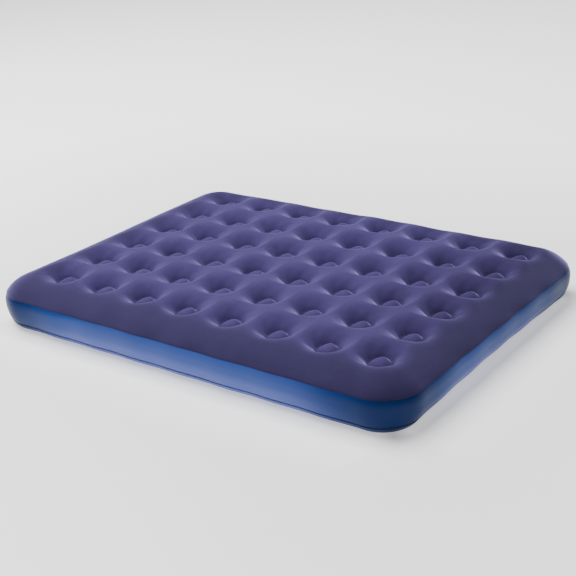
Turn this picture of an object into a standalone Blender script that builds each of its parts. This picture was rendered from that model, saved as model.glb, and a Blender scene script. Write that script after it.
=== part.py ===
"""Queen-size flocked air mattress with coil-beam construction and a two-stage valve.

Frame: metres, +Z up. The origin is the centre of the underside, on the floor. +X runs along the length,
+Y across the width. The valve is low in the end wall at -X.
"""
import math

import bmesh
import bpy
from mathutils import Matrix, Vector

# ---------------------------------------------------------------- driving dimensions, in metres
LENGTH = 2.03            # inflated, at the widest point of the side bulge
WIDTH = 1.52
HEIGHT = 0.218           # floor to crown of the sleeping surface
BULGE_Z = 0.112          # height at which the side walls reach furthest out
SHOULDER = 0.192         # how far in from the edge the top needs to reach its full height
TOE = 0.056              # how far the side wall tucks in where it meets the floor
CORNER_R = 0.168         # plan radius of the four corners at the bulge
FILM = 0.001             # modelled thickness of every sheet
GAP = 0.0003             # gap kept between pieces that touch or are welded

COILS_X, COILS_Y = 8, 6  # coil beams along the length and across the width
PITCH_X, PITCH_Y = 0.2227, 0.2212
GRID_X, GRID_Y = 0.024, 0.018   # the grid of wells sits this far off centre, away from the valve
WALL_R = 0.080           # radius at which a well's wall changes slope
FLOOR_R = 0.045          # flat bottom of a well
WELL_FLOOR_Z = 0.163     # height of the well bottoms
SADDLE = 0.012           # how far the ridge between two wells lies below the crown
COIL_R = 0.041           # outside radius of a coil beam
COIL_WALL = 0.0008
COIL_SIDES = 8           # one of the eight sides is left open, so that air reaches the inside

SKIRT_Z = 0.143          # lower edge of the flocked top sheet
SEAM_Z = 0.031           # upper edge of the bottom sheet's turned-up margin
LAP = 0.012              # overlap of the welded lap joints

VALVE_Y, VALVE_Z = -0.42, 0.087
VALVE_SEGMENTS = 24
LEAD_INSERT = 0.006      # screw lead of the large insert
CAP_HINGE_Y, CAP_HINGE_Z = -16.25, 15.3   # the small cap's living hinge, in millimetres in the valve's frame

MM = 0.001


# ---------------------------------------------------------------- helpers
def clear_scene():
    for o in list(bpy.data.objects):
        bpy.data.objects.remove(o)


def material(name, colour, roughness, metallic=0.0):
    m = bpy.data.materials.new(name)
    m.use_nodes = True
    b = m.node_tree.nodes["Principled BSDF"]
    b.inputs["Base Color"].default_value = (*colour, 1.0)
    b.inputs["Roughness"].default_value = roughness
    b.inputs["Metallic"].default_value = metallic
    return m


def finish_mesh(name, bm, mat, smooth=True):
    bmesh.ops.recalc_face_normals(bm, faces=bm.faces)
    me = bpy.data.meshes.new(name)
    bm.to_mesh(me)
    bm.free()
    me.materials.append(mat)
    if smooth:
        me.shade_smooth()
        me.set_sharp_from_angle(angle=math.radians(35))
    o = bpy.data.objects.new(name, me)
    bpy.context.scene.collection.objects.link(o)
    return o


def side_offset(z):
    """How far in from the widest outline the side surface lies at height z."""
    if z >= BULGE_Z:
        s = min(1.0, (z - BULGE_Z) / (HEIGHT - BULGE_Z))
        return SHOULDER * (1.0 - math.sqrt(1.0 - s * s))
    s = min(1.0, (BULGE_Z - z) / BULGE_Z)
    return TOE * (1.0 - math.sqrt(1.0 - s * s))


def crown_height(x, y):
    """Height of the top between the wells: full height in the middle, rounding off over the shoulder."""
    qx, qy = LENGTH / 2 - abs(x), WIDTH / 2 - abs(y)
    d = min(qx, qy)
    d = max(0.0, min(d, SHOULDER))
    c = 1.0 - d / SHOULDER
    return BULGE_Z + (HEIGHT - BULGE_Z) * math.sqrt(max(0.0, 1.0 - c * c))


def ring(inset, z):
    """Points of the mattress outline at that inset and height, anticlockwise from the middle of the +X end.
    The stations match the edge of the cell grid one for one."""
    hx, hy = LENGTH / 2 - CORNER_R, WIDTH / 2 - CORNER_R
    quarter = []
    for k in range(3):                         # +X end, from the middle to the corner
        quarter.append((hx + CORNER_R - inset, hy * k / 3))
    for k in range(6):                         # the corner, 15 degrees a step
        a = math.radians(15 * k)
        quarter.append((hx + (CORNER_R - inset) * math.cos(a), hy + (CORNER_R - inset) * math.sin(a)))
    for k in range(5):                         # long side, from the corner to the middle
        quarter.append((hx * (5 - k) / 5, hy + CORNER_R - inset))
    q2 = [(-x, y) for x, y in reversed(quarter[1:])]
    upper = quarter + [(0.0, hy + CORNER_R - inset)] + q2
    lower = [(-x, -y) for x, y in upper]
    return [Vector((x, y, z)) for x, y in upper + lower]


def shell_from_rings(name, loops, mat):
    """A closed band: each loop joins to the next, and the last to the first."""
    bm = bmesh.new()
    rows = [[bm.verts.new(p) for p in loop] for loop in loops]
    n = len(rows[0])
    for a, b in zip(rows, rows[1:] + rows[:1]):
        for i in range(n):
            j = (i + 1) % n
            bm.faces.new((a[i], a[j], b[j], b[i]))
    return finish_mesh(name, bm, mat)


def offset_profile(points, t):
    """The profile (inset, z) moved t towards the inside of the mattress, mitred at its corners."""
    out = []
    for k, (d, z) in enumerate(points):
        normals = []
        for a, b in ((k - 1, k), (k, k + 1)):
            if 0 <= a and b < len(points):
                du, dz = points[b][0] - points[a][0], points[b][1] - points[a][1]
                length = math.hypot(du, dz)
                normals.append((-dz / length, du / length))
        n1, n2 = normals[0], normals[-1]
        if n1[0] + n2[0] == 0 and n1[1] + n2[1] == 0:
            n2 = n1
        k2 = t / (1 + n1[0] * n2[0] + n1[1] * n2[1])
        out.append((d + (n1[0] + n2[0]) * k2, z + (n1[1] + n2[1]) * k2))
    return out


def revolve(bm, profile, segments, radii=None):
    """Turns a closed (r, a) profile about the local Z axis. A point at r 0 becomes one vertex."""
    columns = []
    for r, a in profile:
        if r < 1e-9:
            columns.append([bm.verts.new((0, 0, a))] * segments)
            continue
        col = []
        for k in range(segments):
            t = 2 * math.pi * k / segments
            rr = r if radii is None else radii(r, a, k)
            col.append(bm.verts.new((rr * math.cos(t), rr * math.sin(t), a)))
        columns.append(col)
    for c0, c1 in zip(columns, columns[1:] + columns[:1]):
        for k in range(segments):
            j = (k + 1) % segments
            face = []
            for v in (c0[k], c0[j], c1[j], c1[k]):
                if v not in face:
                    face.append(v)
            if len(face) > 2:
                bm.faces.new(face)


def turned(name, profile_mm, mat, segments=VALVE_SEGMENTS, radii=None):
    bm = bmesh.new()
    revolve(bm, [(r * MM, a * MM) for r, a in profile_mm], segments, radii)
    return finish_mesh(name, bm, mat)


def helix_ridge(name, root_r, crest_r, root_w, crest_w, start, lead, a0, a1, mat, steps_per_turn=24):
    """A thread: a trapezoid swept along a right-hand helix from angle a0 to a1 in degrees. start is the
    height of its middle at angle 0. All sizes in millimetres."""
    bm = bmesh.new()
    steps = max(2, round((a1 - a0) / 360 * steps_per_turn))
    loops = []
    for k in range(steps + 1):
        deg = a0 + (a1 - a0) * k / steps
        t, z = math.radians(deg), start + lead * deg / 360
        loop = []
        for r, dz in ((root_r, -root_w / 2), (crest_r, -crest_w / 2), (crest_r, crest_w / 2), (root_r, root_w / 2)):
            loop.append(bm.verts.new((r * MM * math.cos(t), r * MM * math.sin(t), (z + dz) * MM)))
        loops.append(loop)
    for l0, l1 in zip(loops, loops[1:]):
        for i in range(4):
            j = (i + 1) % 4
            bm.faces.new((l0[i], l0[j], l1[j], l1[i]))
    bm.faces.new(loops[0])
    bm.faces.new(loops[-1])
    return finish_mesh(name, bm, mat)


def prism(name, outline_mm, along, lo, hi, mat):
    """A polygon extruded along one local axis. outline_mm is in the other two, in X, Y, Z order."""
    bm = bmesh.new()

    def place(p, h):
        u, v = p[0] * MM, p[1] * MM
        return {"X": (h * MM, u, v), "Y": (u, h * MM, v), "Z": (u, v, h * MM)}[along]

    lower = [bm.verts.new(place(p, lo)) for p in outline_mm]
    upper = [bm.verts.new(place(p, hi)) for p in outline_mm]
    bm.faces.new(lower)
    bm.faces.new(upper)
    n = len(outline_mm)
    for i in range(n):
        j = (i + 1) % n
        bm.faces.new((lower[i], lower[j], upper[j], upper[i]))
    return finish_mesh(name, bm, mat)


def combine(base, others, operation):
    """Boolean modifiers on base, one for each other object, applied, with the others removed."""
    for k, other in enumerate(others):
        m = base.modifiers.new(f"{operation.lower()}_{k}", "BOOLEAN")
        m.operation = operation
        m.object = other
        m.solver = "EXACT"
    bpy.context.view_layer.update()
    dg = bpy.context.evaluated_depsgraph_get()
    me = bpy.data.meshes.new_from_object(base.evaluated_get(dg))
    base.modifiers.clear()
    old = base.data
    base.data = me
    bpy.data.meshes.remove(old)
    for other in others:
        bpy.data.objects.remove(other)
    return base


def round_outline(cx, cy, r, n, start=0.0, span=360.0):
    count = n if span >= 360 else n + 1
    return [
        (cx + r * math.cos(math.radians(start + span * k / n)), cy + r * math.sin(math.radians(start + span * k / n)))
        for k in range(count)
    ]


# ---------------------------------------------------------------- materials
clear_scene()
FLOCK = material("flocked_pvc", (0.10, 0.085, 0.24), 0.95)
VINYL = material("blue_pvc", (0.05, 0.12, 0.38), 0.32)
BEAM = material("beam_pvc", (0.30, 0.36, 0.52), 0.45)
VALVE_SOFT = material("valve_soft_pvc", (0.04, 0.09, 0.28), 0.40)
VALVE_HARD = material("valve_hard_plastic", (0.03, 0.05, 0.14), 0.35)
SEAL = material("seal_silicone", (0.62, 0.64, 0.66), 0.50)
PIN = material("pin_plastic", (0.80, 0.81, 0.83), 0.40)


# ---------------------------------------------------------------- the flocked top sheet, with its 48 wells
def well_axes():
    for j in range(COILS_Y):
        for i in range(COILS_X):
            yield i, j, GRID_X + (i - (COILS_X - 1) / 2) * PITCH_X, GRID_Y + (j - (COILS_Y - 1) / 2) * PITCH_Y


def well_share(r):
    """How much of a well's depth its wall has climbed at radius r: 0 at the floor, 1 at the peak between four wells."""
    far = math.hypot(PITCH_X, PITCH_Y) / 2
    t = max(0.0, min(1.0, (r - FLOOR_R) / (far - FLOOR_R)))
    return (1.0 - (1.0 - t) ** 1.5) ** 0.87


EIGHT = [(1, 0), (1, 1), (0, 1), (-1, 1), (-1, 0), (-1, -1), (0, -1), (1, -1)]


def grid_surface(bm, drop, spread):
    """The wells and the crown between them, as one side of the sheet. drop lowers it, and spread widens
    each well, which is how the underside differs from the upper side. Returns its outer boundary."""
    corner = {}

    def cell_vert(gx, gy):  # gx, gy count half cells from the -X -Y corner of the grid
        if (gx, gy) not in corner:
            x, y = GRID_X + (gx / 2 - COILS_X / 2) * PITCH_X, GRID_Y + (gy / 2 - COILS_Y / 2) * PITCH_Y
            rim = gx in (0, 2 * COILS_X) or gy in (0, 2 * COILS_Y)
            low = SADDLE if (gx + gy) % 2 and not rim else 0.0
            corner[gx, gy] = bm.verts.new((x, y, crown_height(x, y) - low - drop))
        return corner[gx, gy]

    for i, j, cx, cy in well_axes():
        edge = [cell_vert(2 * i + 1 + ux, 2 * j + 1 + uy) for ux, uy in EIGHT]
        lip, floor = [], []
        for k in range(8):
            a = math.pi * k / 4
            x, y = cx + (WALL_R + spread) * math.cos(a), cy + (WALL_R + spread) * math.sin(a)
            climbed = WELL_FLOOR_Z + (crown_height(x, y) - WELL_FLOOR_Z) * well_share(WALL_R)
            lip.append(bm.verts.new((x, y, climbed - drop)))
            x, y = cx + (FLOOR_R + spread) * math.cos(a), cy + (FLOOR_R + spread) * math.sin(a)
            floor.append(bm.verts.new((x, y, WELL_FLOOR_Z - drop)))
        for k in range(8):
            m = (k + 1) % 8
            bm.faces.new((edge[k], edge[m], lip[m], lip[k]))
            bm.faces.new((lip[k], lip[m], floor[m], floor[k]))
        bm.faces.new(floor)
    nx, ny = 2 * COILS_X, 2 * COILS_Y
    path = [(nx, ny // 2 + k) for k in range(ny // 2)]                 # +X end, middle to corner
    path += [(nx - k, ny) for k in range(nx)]                          # +Y side
    path += [(0, ny - k) for k in range(ny)]                           # -X end
    path += [(k, 0) for k in range(nx)]                                # -Y side
    path += [(nx, k) for k in range(ny // 2)]
    return [corner[p] for p in path]


def bridge(bm, a, b):
    n = len(a)
    for i in range(n):
        j = (i + 1) % n
        bm.faces.new((a[i], a[j], b[j], b[i]))


def make_top_sheet():
    bm = bmesh.new()
    outer = skin_profile()[:3]
    full = [(SHOULDER * 0.45, crown_height(LENGTH / 2 - SHOULDER * 0.45, 0))] + outer
    inner = offset_profile(full, FILM)[1:]
    top_edge = grid_surface(bm, 0.0, 0.0)
    low_edge = grid_surface(bm, FILM, 0.00055)
    top_rings = [[bm.verts.new(p) for p in ring(d, z)] for d, z in outer]
    low_rings = [[bm.verts.new(p) for p in ring(d, z)] for d, z in inner]
    for a, b in zip([top_edge] + top_rings, top_rings):
        bridge(bm, a, b)
    for a, b in zip([low_edge] + low_rings, low_rings):
        bridge(bm, a, b)
    bridge(bm, top_rings[-1], low_rings[-1])
    bmesh.ops.triangulate(bm, faces=bm.faces)
    return finish_mesh("top_sheet", bm, FLOCK)


# ---------------------------------------------------------------- side wall and bottom sheet
VALVE_FACE = 0.0012      # inset of the flat land that the valve flange is welded to


def skin_profile():
    """The outside of the mattress from the crown's edge down to the floor, as (inset, z)."""
    heights = (0.190, SKIRT_Z + LAP, SKIRT_Z, SEAM_Z, SEAM_Z - LAP, 0.006, 0.0)
    return [(side_offset(z), z) for z in heights]


def make_side_wall():
    """A band of blue film. Its upper margin lies behind the flocked skirt and its lower margin behind the
    bottom sheet's turned-up edge, and it is flat across the middle where the valve is welded."""
    skin = skin_profile()
    upper = offset_profile(skin[:3], FILM + GAP + 0.0002)[1:]
    lower = offset_profile(skin[3:6], FILM + GAP + 0.0002)[:2]
    outer = upper + [(VALVE_FACE, 0.121), (VALVE_FACE, 0.053)] + lower
    inner = offset_profile(outer, FILM)
    loops = [ring(d, z) for d, z in outer] + [ring(d, z) for d, z in reversed(inner)]
    wall = shell_from_rings("side_wall", loops, VINYL)
    hole = turned("valve_hole", [(0, -16), (20.2, -16), (20.2, 8), (0, 8)], VINYL)
    hole.matrix_world = valve_frame().matrix_world
    bpy.context.view_layer.update()
    return combine(wall, [hole], "DIFFERENCE")


def make_bottom_sheet():
    bm = bmesh.new()
    outer = skin_profile()[3:]
    inner = offset_profile(outer + [(0.2, 0.0)], FILM)[:-1]
    out_rings = [[bm.verts.new(p) for p in ring(d, z)] for d, z in outer]
    in_rings = [[bm.verts.new(p) for p in ring(d, z)] for d, z in inner]
    for rows in (out_rings, in_rings):
        for a, b in zip(rows, rows[1:]):
            bridge(bm, a, b)
    bridge(bm, out_rings[0], in_rings[0])
    bm.faces.new(out_rings[-1])
    bm.faces.new(in_rings[-1])
    return finish_mesh("bottom_sheet", bm, VINYL)


# ---------------------------------------------------------------- coil beams
def make_coils():
    """Each coil beam is a strip of film bent round into a tube with one side open. Its ends are welded to
    the two sheets."""
    z0, z1 = FILM + GAP, WELL_FLOOR_Z - FILM - GAP
    bm = bmesh.new()
    columns = []
    for k in range(COIL_SIDES):                 # seven walls between eight corners
        a = math.radians(202.5 + 360 / COIL_SIDES * (k + 1))
        c, s = math.cos(a), math.sin(a)
        columns.append(
            [bm.verts.new((r * c, r * s, z)) for r, z in ((COIL_R, z0), (COIL_R, z1), (COIL_R - COIL_WALL, z1), (COIL_R - COIL_WALL, z0))]
        )
    for c0, c1 in zip(columns, columns[1:]):
        for i in range(4):
            j = (i + 1) % 4
            bm.faces.new((c0[i], c0[j], c1[j], c1[i]))
    bm.faces.new(columns[0])
    bm.faces.new(columns[-1])
    first = finish_mesh("coil_beam_r1_c1", bm, BEAM)
    for i, j, x, y in well_axes():
        o = first if (i, j) == (0, 0) else bpy.data.objects.new(f"coil_beam_r{j + 1}_c{i + 1}", first.data)
        if (i, j) != (0, 0):
            bpy.context.scene.collection.objects.link(o)
        o.location = (x, y, 0)


# ---------------------------------------------------------------- the valve
# Local frame: Z points out of the mattress, X points up, Y as the mattress. Heights are from the flange's back.
def valve_frame():
    e = bpy.data.objects.get("valve_axis")
    if e is None:
        e = bpy.data.objects.new("valve_axis", None)
        bpy.context.scene.collection.objects.link(e)
        e.location = (-(LENGTH / 2 - VALVE_FACE + GAP), VALVE_Y, VALVE_Z)
        e.rotation_euler = (0, math.radians(-90), 0)
        bpy.context.view_layer.update()
    return e


def on_valve(o, location_mm=(0, 0, 0)):
    o.parent = valve_frame()
    o.location = [c * MM for c in location_mm]
    return o


def make_valve_base():
    base = turned(
        "valve_base",
        [(15.0, -13.0), (19.5, -13.0), (19.5, 0.0), (24.0, 0.0), (24.0, 0.8), (23.4, 1.2), (19.5, 1.2), (19.5, 2.0), (17.5, 2.0), (17.5, -11.5), (15.0, -11.5)],
        VALVE_SOFT,
    )
    tab = prism("tab", [(-6.5, 21.0), (6.5, 21.0), (6.5, 27.0)] + round_outline(0, 27.0, 6.5, 8, 0, 180)[1:-1] + [(-6.5, 27.0)], "Z", 0.0, 1.2, VALVE_SOFT)
    stud = turned("stud", [(0, 0.6), (1.6, 0.6), (1.6, 3.5), (2.7, 3.5), (2.7, 4.1), (1.9, 4.7), (0, 4.7)], VALVE_SOFT, 10)
    stud.data.transform(Matrix.Translation((0, 28 * MM, 0)))
    thread = helix_ridge("female", 17.9, 16.35, 2.0, 1.2, -8.0, LEAD_INSERT / MM, 0, 360, VALVE_SOFT)
    return on_valve(combine(base, [tab, stud, thread], "UNION"))


def make_base_seal():
    profile = [(16.2 + 0.8 * math.cos(math.radians(60 * k)), -10.4 + 0.8 * math.sin(math.radians(60 * k))) for k in range(6)]
    return on_valve(turned("base_seal", profile, SEAL, 20))


def make_valve_insert():
    def grip(r, a, k):
        return r - (0.9 * MM if r > 21 * MM and k % 2 else 0)

    insert = turned(
        "valve_insert",
        [
            (15.9, -9.2), (15.9, 4.6), (21.5, 4.6), (21.5, 6.2), (20.8, 6.8), (9.3, 6.8), (9.3, 8.5), (10.0, 9.0),
            (9.3, 9.6), (9.3, 13.4), (6.5, 13.4), (6.5, 4.6), (13.6, 4.6), (13.6, -5.4), (7.0, -5.4), (7.0, -6.6), (13.6, -6.6), (13.6, -9.2),
        ],
        VALVE_HARD,
        radii=grip,
    )
    thread = helix_ridge("male", 15.5, 17.15, 2.0, 1.2, -11.0, LEAD_INSERT / MM, 180, 600, VALVE_HARD)
    bars = [
        prism("bar_a", [(-7.3, -6.5), (7.3, -6.5), (7.3, -5.5), (-7.3, -5.5)], "Y", -0.7, 0.7, VALVE_HARD),
        prism("bar_b", [(-7.3, -6.4), (7.3, -6.4), (7.3, -5.6), (-7.3, -5.6)], "X", -0.7, 0.7, VALVE_HARD),
    ]
    ears = [
        prism("ear", [(9.6, -10.0), (12.6, -10.0), (12.6, -6.1), (9.6, -6.1)], "Y", lo, hi, VALVE_HARD)
        for lo, hi in ((3.6, 4.8), (-4.8, -3.6))
    ]
    insert = combine(insert, [thread] + bars + ears, "UNION")
    drill = prism("drill", round_outline(11.1, -8.6, 0.9, 8, 22.5), "Y", -6.0, 6.0, VALVE_HARD)
    return on_valve(combine(insert, [drill], "DIFFERENCE"))


def make_flap():
    flap = turned("check_flap", [(0, -7.8), (8.9, -7.8), (8.9, -6.95), (0, -6.95)], SEAL, 16)
    link = prism("link", [(7.5, -7.8), (11.1, -7.8), (11.1, -6.98), (7.5, -6.98)], "Y", -3.0, 3.0, SEAL)
    knuckle = prism("knuckle", round_outline(11.1, -8.6, 1.65, 10), "Y", -3.2, 3.2, SEAL)
    flap = combine(flap, [link, knuckle], "UNION")
    bore = prism("bore", round_outline(11.1, -8.6, 0.95, 8, 22.5), "Y", -4.0, 4.0, SEAL)
    flap = combine(flap, [bore], "DIFFERENCE")
    flap.data.transform(Matrix.Translation((-11.1 * MM, 0, 8.6 * MM)))
    return on_valve(flap, (11.1, 0, -8.6))


def make_flap_pin():
    return on_valve(prism("flap_pin", round_outline(11.1, -8.6, 0.55, 8), "Y", -5.2, 5.2, PIN))


def make_inflate_cap():
    """A soft plug on a lid, with a pull tab on one side and a lug on the other, at the living hinge. Its own
    origin is on the hinge."""
    cap = turned(
        "inflate_cap",
        [(0, 15.3), (10.6, 15.3), (11.0, 14.9), (11.0, 13.7), (6.1, 13.7), (5.5, 9.6), (4.5, 9.6), (4.9, 13.9), (0, 13.9)],
        VALVE_SOFT,
    )
    lug = prism("lug", [(-3.4, CAP_HINGE_Y + 0.15), (3.4, CAP_HINGE_Y + 0.15), (4.6, -9.0), (-4.6, -9.0)], "Z", 13.7, 15.1, VALVE_SOFT)
    tip = round_outline(0, 15.0, 4.2, 8, 0, 180)
    tab = prism("tab", [(-4.8, 9.0), (4.8, 9.0)] + tip, "Z", 13.7, 14.9, VALVE_SOFT)
    ribs = [prism("rib", [(y, 14.5), (y + 0.9, 14.5), (y + 0.9, 15.4), (y, 15.4)], "X", -3.0, 3.0, VALVE_SOFT) for y in (12.6, 14.6, 16.6)]
    cap = combine(cap, [lug, tab] + ribs, "UNION")
    cap.data.transform(Matrix.Translation((0, -CAP_HINGE_Y * MM, -CAP_HINGE_Z * MM)))
    return on_valve(cap, (0, CAP_HINGE_Y, CAP_HINGE_Z))


def make_insert_tether():
    """A ring that stays under the insert's head, and a strap with a foot on the stud of the base's tab."""
    band = turned("insert_tether", [(16.3, 2.6), (20.6, 2.6), (20.6, 4.2), (16.3, 4.2)], VALVE_SOFT)
    strap = [(19.4, 2.75), (22.3, 2.75), (22.9, 4.6), (23.6, 4.6), (24.2, 1.5), (31.4, 1.5), (31.4, 2.9), (25.4, 2.9), (24.6, 6.0), (21.9, 6.0), (21.9, 4.05), (19.4, 4.05)]
    strap = prism("strap", strap, "X", -3.0, 3.0, VALVE_SOFT)
    band = combine(band, [strap], "UNION")
    hole = prism("eye", round_outline(0, 28.0, 2.0, 10), "Z", 0.5, 4.0, VALVE_SOFT)
    return on_valve(combine(band, [hole], "DIFFERENCE"))


def make_cap_tether():
    """A ring that snaps over the bead on the insert's neck, with an arm and a post that end at the lid's hinge."""
    ring_part = turned("cap_tether", [(9.6, 7.1), (12.4, 7.1), (12.4, 8.2), (9.6, 8.2)], VALVE_SOFT)
    back, front = CAP_HINGE_Y - 1.35, CAP_HINGE_Y - 0.15
    arm = [(-11.8, 7.1), (-11.8, 8.2), (front, 8.2), (front, CAP_HINGE_Z - 0.4), (back, CAP_HINGE_Z - 0.4), (back, 7.1)]
    return on_valve(combine(ring_part, [prism("arm", arm, "X", -3.4, 3.4, VALVE_SOFT)], "UNION"))


make_top_sheet()
make_side_wall()
make_bottom_sheet()
make_coils()
make_valve_base()
make_base_seal()
make_valve_insert()
make_flap()
make_flap_pin()
make_inflate_cap()
make_insert_tether()
make_cap_tether()
bpy.context.view_layer.update()
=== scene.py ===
import math

import bmesh
import bpy
import numpy as np
from mathutils import Matrix, Vector


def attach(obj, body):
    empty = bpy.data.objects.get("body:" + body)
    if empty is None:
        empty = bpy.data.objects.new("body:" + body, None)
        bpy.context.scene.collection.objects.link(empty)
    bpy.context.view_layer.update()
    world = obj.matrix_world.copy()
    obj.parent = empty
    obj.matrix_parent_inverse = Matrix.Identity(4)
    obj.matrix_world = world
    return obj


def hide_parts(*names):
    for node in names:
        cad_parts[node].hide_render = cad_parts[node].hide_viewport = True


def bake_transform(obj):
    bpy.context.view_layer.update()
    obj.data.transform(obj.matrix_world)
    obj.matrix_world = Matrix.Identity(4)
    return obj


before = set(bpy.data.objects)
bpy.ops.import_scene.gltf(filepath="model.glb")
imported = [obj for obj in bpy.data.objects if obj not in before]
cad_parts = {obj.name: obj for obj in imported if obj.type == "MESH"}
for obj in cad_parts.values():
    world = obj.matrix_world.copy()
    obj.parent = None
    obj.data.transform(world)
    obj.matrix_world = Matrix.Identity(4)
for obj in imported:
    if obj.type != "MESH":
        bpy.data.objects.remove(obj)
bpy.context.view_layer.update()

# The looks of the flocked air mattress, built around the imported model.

ROOT = "mattress"

# ---------------------------------------------------------------- dimensions, as in the CAD model
LENGTH, WIDTH, HEIGHT = 2.03, 1.52, 0.218
BULGE_Z, SHOULDER, TOE, CORNER_R = 0.112, 0.192, 0.056, 0.168
COILS_X, COILS_Y = 8, 6
PITCH_X, PITCH_Y = 0.2227, 0.2212
GRID_X, GRID_Y = 0.024, 0.018
WELD_R = 0.044
WELL_Z = 0.163
SKIRT_Z, SEAM_Z, LAP = 0.143, 0.031, 0.012
VALVE_FACE, GAP = 0.0012, 0.0003
VALVE_Y, VALVE_Z = -0.42, 0.087
VALVE_X = -(LENGTH / 2 - VALVE_FACE + GAP)
STEP = 0.0062            # mesh spacing of the skins


# ---------------------------------------------------------------- helpers
def new_object(name, verts, faces, mat=None, smooth=True):
    me = bpy.data.meshes.new(name)
    me.from_pydata([tuple(v) for v in verts], [], [tuple(f) for f in faces])
    me.validate()
    me.update()
    o = bpy.data.objects.new(name, me)
    bpy.context.scene.collection.objects.link(o)
    if smooth:
        me.shade_smooth()
    if mat:
        me.materials.append(mat)
    return o


def hash_noise(seed):
    return np.random.default_rng(seed)


def smooth01(t):
    t = np.clip(t, 0.0, 1.0)
    return t * t * (3 - 2 * t)


def waves(x, y, seed, scale, octaves=6):
    """A smooth, repeatable, band-limited field in about -1 to 1, made of plane waves about scale long."""
    r = hash_noise(seed)
    out = np.zeros_like(np.asarray(x, float))
    for _ in range(octaves):
        a, p = r.uniform(0, 2 * np.pi, 2)
        k = 2 * np.pi / (scale * r.uniform(0.75, 1.4))
        out = out + np.sin(k * (np.cos(a) * x + np.sin(a) * y) + p)
    return out / octaves ** 0.5 / 1.2


# ---------------------------------------------------------------- the mattress outline
def side_offset(z):
    z = np.asarray(z, float)
    up = np.clip((z - BULGE_Z) / (HEIGHT - BULGE_Z), 0, 1)
    dn = np.clip((BULGE_Z - z) / BULGE_Z, 0, 1)
    return np.where(z >= BULGE_Z, SHOULDER * (1 - np.sqrt(1 - up * up)), TOE * (1 - np.sqrt(1 - dn * dn)))


def inset_of(x, y):
    """How far a plan point lies inside the widest outline."""
    qx, qy = np.abs(x) - (LENGTH / 2 - CORNER_R), np.abs(y) - (WIDTH / 2 - CORNER_R)
    out = np.hypot(np.maximum(qx, 0), np.maximum(qy, 0)) + np.minimum(np.maximum(qx, qy), 0)
    return CORNER_R - out


def outline(n_x, n_y):
    """Stations round the widest outline, one for each point on the edge of an n_x by n_y grid, with the
    outward direction at each. They run anticlockwise from the middle of the +X end."""
    hx, hy = LENGTH / 2 - CORNER_R, WIDTH / 2 - CORNER_R
    gx, gy = COILS_X * PITCH_X / 2, COILS_Y * PITCH_Y / 2
    pts, nrm, grid = [], [], []
    path = [(n_x, j) for j in range(n_y // 2, n_y)]
    path += [(i, n_y) for i in range(n_x, 0, -1)]
    path += [(0, j) for j in range(n_y, 0, -1)]
    path += [(i, 0) for i in range(0, n_x)]
    path += [(n_x, j) for j in range(0, n_y // 2)]
    for i, j in path:
        x, y = (i / n_x * 2 - 1) * gx, (j / n_y * 2 - 1) * gy
        # a point of the rectangle's edge goes to the rounded outline along a ray that fans out at the corner
        sx, sy = math.copysign(1, x), math.copysign(1, y)
        ax, ay = abs(x), abs(y)
        band = 0.24
        if i in (0, n_x):      # on an end
            t = max(0.0, (ay - (gy - band)) / band)
            if t <= 0:
                px, py, nx_, ny_ = LENGTH / 2, ay, 1.0, 0.0
                y_straight = hy * ay / (gy - band) if ay else 0.0
                py = y_straight
            else:
                a = t * math.pi / 4
                px, py = hx + CORNER_R * math.cos(a), hy + CORNER_R * math.sin(a)
                nx_, ny_ = math.cos(a), math.sin(a)
        else:
            t = max(0.0, (ax - (gx - band)) / band)
            if t <= 0:
                px, py, nx_, ny_ = hx * ax / (gx - band), WIDTH / 2, 0.0, 1.0
            else:
                a = math.pi / 2 - t * math.pi / 4
                px, py = hx + CORNER_R * math.cos(a), hy + CORNER_R * math.sin(a)
                nx_, ny_ = math.cos(a), math.sin(a)
        if i in (0, n_x) and j in (0, n_y):
            a = math.pi / 4
            px, py = hx + CORNER_R * math.cos(a), hy + CORNER_R * math.sin(a)
            nx_, ny_ = math.cos(a), math.sin(a)
        pts.append((px * sx, py * sy))
        nrm.append((nx_ * sx, ny_ * sy))
        grid.append((i, j))
    return np.array(pts), np.array(nrm), grid


def edge_wave(p, n):
    """The slight waviness of the filled side, in metres outward: it swells a little opposite each bay."""
    x, y = p[:, 0], p[:, 1]
    bays = n[:, 1] ** 2 * np.cos(2 * np.pi * (x - GRID_X) / PITCH_X) + n[:, 0] ** 2 * np.cos(2 * np.pi * (y - GRID_Y) / PITCH_Y)
    return 0.0014 * bays * np.abs(n).max(1) ** 4 + 0.0008 * waves(x, y, 5, 0.45)


# ---------------------------------------------------------------- height of the flocked top
def well_centres():
    xs = GRID_X + (np.arange(COILS_X) - (COILS_X - 1) / 2) * PITCH_X
    ys = GRID_Y + (np.arange(COILS_Y) - (COILS_Y - 1) / 2) * PITCH_Y
    r = hash_noise(11)
    out = []
    for j, y in enumerate(ys):
        for i, x in enumerate(xs):
            out.append((x, y, i, j, r.uniform(0, 2 * np.pi), r.uniform(-1, 1), r.uniform(-1, 1)))
    return out


def crown(d):
    c = 1 - np.clip(d / SHOULDER, 0, 1)
    return BULGE_Z + (HEIGHT - BULGE_Z) * np.sqrt(np.clip(1 - c * c, 0, 1))


DOME_H = 0.0225
DOME_LEAN = math.radians(88)     # the domes lean the same way, as the beams under them were rolled
DOME_OFF = 0.46
BOWL_P, BOWL_Q = 2.1, 0.95      # how a bowl's wall rises from the weld to the ridge
BOWL_R, BORDER_R = 0.134, 0.144  # where a bowl fades out between its neighbours, and towards the border


def swell(x, y):
    """The filled bed stands a few millimetres higher along the middle of one long side."""
    return 0.006 * np.exp(-((x - 0.25) / 0.55) ** 2) * smooth01((y + 0.1) / 0.5) * smooth01(inset_of(x, y) / 0.12)


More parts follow.
